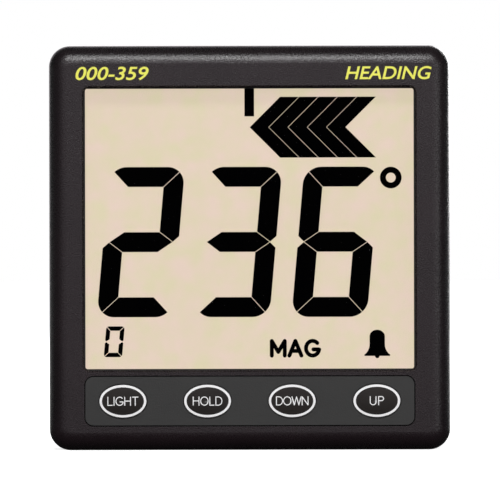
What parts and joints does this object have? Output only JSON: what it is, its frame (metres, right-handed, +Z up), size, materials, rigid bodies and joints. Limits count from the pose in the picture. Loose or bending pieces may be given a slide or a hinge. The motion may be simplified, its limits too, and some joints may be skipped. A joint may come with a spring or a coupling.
{
  "type": "compass repeater",
  "caption": "Square flush-mounted display that repeats a compass heading in large digits, with keys below the window and a rear clamp that holds it to a panel.",
  "frame": {"origin": "centre of the panel seat: the middle of the rear face of the panel gasket, where the instrument bears on the panel", "axes": "+Y points backwards, square out of the panel seat into the panel; the display faces -Y; +Z is up; +X is to the viewer's right"},
  "size_m": [0.11, 0.0585, 0.111],
  "materials": {
    "case": "fine grained moulding, satin",
    "strip": "smooth satin film",
    "key": "satin silicone",
    "key_print": "smooth white inlay",
    "lens": "clear, polished",
    "rubber": "matt black rubber",
    "silicone": "translucent grey silicone",
    "carbon": "carbon filled, matt",
    "polariser": "thin film",
    "display_glass": "thin float glass",
    "ink": "switched liquid crystal, matt black",
    "reflector": "warm ivory diffusing film",
    "white": "white moulding",
    "led": "moulded lamp body",
    "board": "green solder mask",
    "gold": "gold plated pads",
    "chip": "black moulding compound",
    "steel": "stainless, satin",
    "can": "pressed can, satin",
    "sleeve": "shrunk sleeve, dark blue",
    "terminal": "green moulding",
    "ceramic": "fired ceramic",
    "brass": "turned brass"
  },
  "bodies": {
    "instrument": {"front_case": "case", "window_lens": "lens", "window_gasket": "rubber", "key_strip": "strip", "light_key_skirt": "silicone", "hold_key_skirt": "silicone", "down_key_skirt": "silicone", "up_key_skirt": "silicone", "keypad_mat": "silicone", "key_board": "board", "key_board_pads": "gold", "key_board_screws": "steel", "board_link": "chip", "lcd_front_polariser": "polariser", "lcd_front_glass": "display_glass", "lcd_segments": "ink", "lcd_seal": "white", "lcd_rear_glass": "display_glass", "lcd_reflector": "reflector", "light_guide": "white", "backlight_leds": "led", "display_tray": "white", "zebra_strip": "rubber", "main_board": "board", "main_board_screws": "steel", "processor_chip": "chip", "display_driver_chip": "chip", "crystal": "can", "capacitors": "sleeve", "voltage_regulator": "chip", "terminal_block": "terminal", "terminal_screws": "steel", "sounder": "chip", "small_components": "ceramic", "rear_cover": "case", "cover_seal": "rubber", "cover_screws": "steel", "panel_gasket": "rubber", "stud_inserts": "brass", "mounting_studs": "steel", "cable_grommet": "rubber", "vent_plug": "rubber"},
    "rear_clamp": {"rear_clamp": "steel", "clamp_washers": "steel"},
    "left_wing_nut": {"left_wing_nut": "steel"},
    "right_wing_nut": {"right_wing_nut": "steel"},
    "light_key": {"light_key": "key", "light_key_ring": "key_print", "light_key_contact": "carbon"},
    "hold_key": {"hold_key": "key", "hold_key_ring": "key_print", "hold_key_contact": "carbon"},
    "down_key": {"down_key": "key", "down_key_ring": "key_print", "down_key_contact": "carbon"},
    "up_key": {"up_key": "key", "up_key_ring": "key_print", "up_key_contact": "carbon"}
  },
  "joints": [
    {"name": "light_key_press", "type": "slide", "parent": "instrument", "child": "light_key", "axis": [0, 1, 0], "range_m": [0, 0.0012], "stiffness_N_per_m": 1500, "deforming": ["light_key_skirt"]},
    {"name": "hold_key_press", "type": "slide", "parent": "instrument", "child": "hold_key", "axis": [0, 1, 0], "range_m": [0, 0.0012], "stiffness_N_per_m": 1500, "deforming": ["hold_key_skirt"]},
    {"name": "down_key_press", "type": "slide", "parent": "instrument", "child": "down_key", "axis": [0, 1, 0], "range_m": [0, 0.0012], "stiffness_N_per_m": 1500, "deforming": ["down_key_skirt"]},
    {"name": "up_key_press", "type": "slide", "parent": "instrument", "child": "up_key", "axis": [0, 1, 0], "range_m": [0, 0.0012], "stiffness_N_per_m": 1500, "deforming": ["up_key_skirt"]},
    {"name": "clamp_travel", "type": "slide", "parent": "instrument", "child": "rear_clamp", "axis": [0, 1, 0], "range_m": [-0.004, 0.008]},
    {"name": "left_nut_spin", "type": "hinge", "parent": "rear_clamp", "child": "left_wing_nut", "pos_m": [-0.03, 0.025, 0], "axis": [0, 1, 0], "range_deg": [-2058.1, 4115.3]},
    {"name": "right_nut_spin", "type": "hinge", "parent": "rear_clamp", "child": "right_wing_nut", "pos_m": [0.03, 0.025, 0], "axis": [0, 1, 0], "range_deg": [-2058.1, 4115.3]}
  ],
  "couplings": [
    {"joint": "left_nut_spin", "follows": "clamp_travel", "rad_per_m": 8976},
    {"joint": "right_nut_spin", "follows": "clamp_travel", "rad_per_m": 8976}
  ]
}
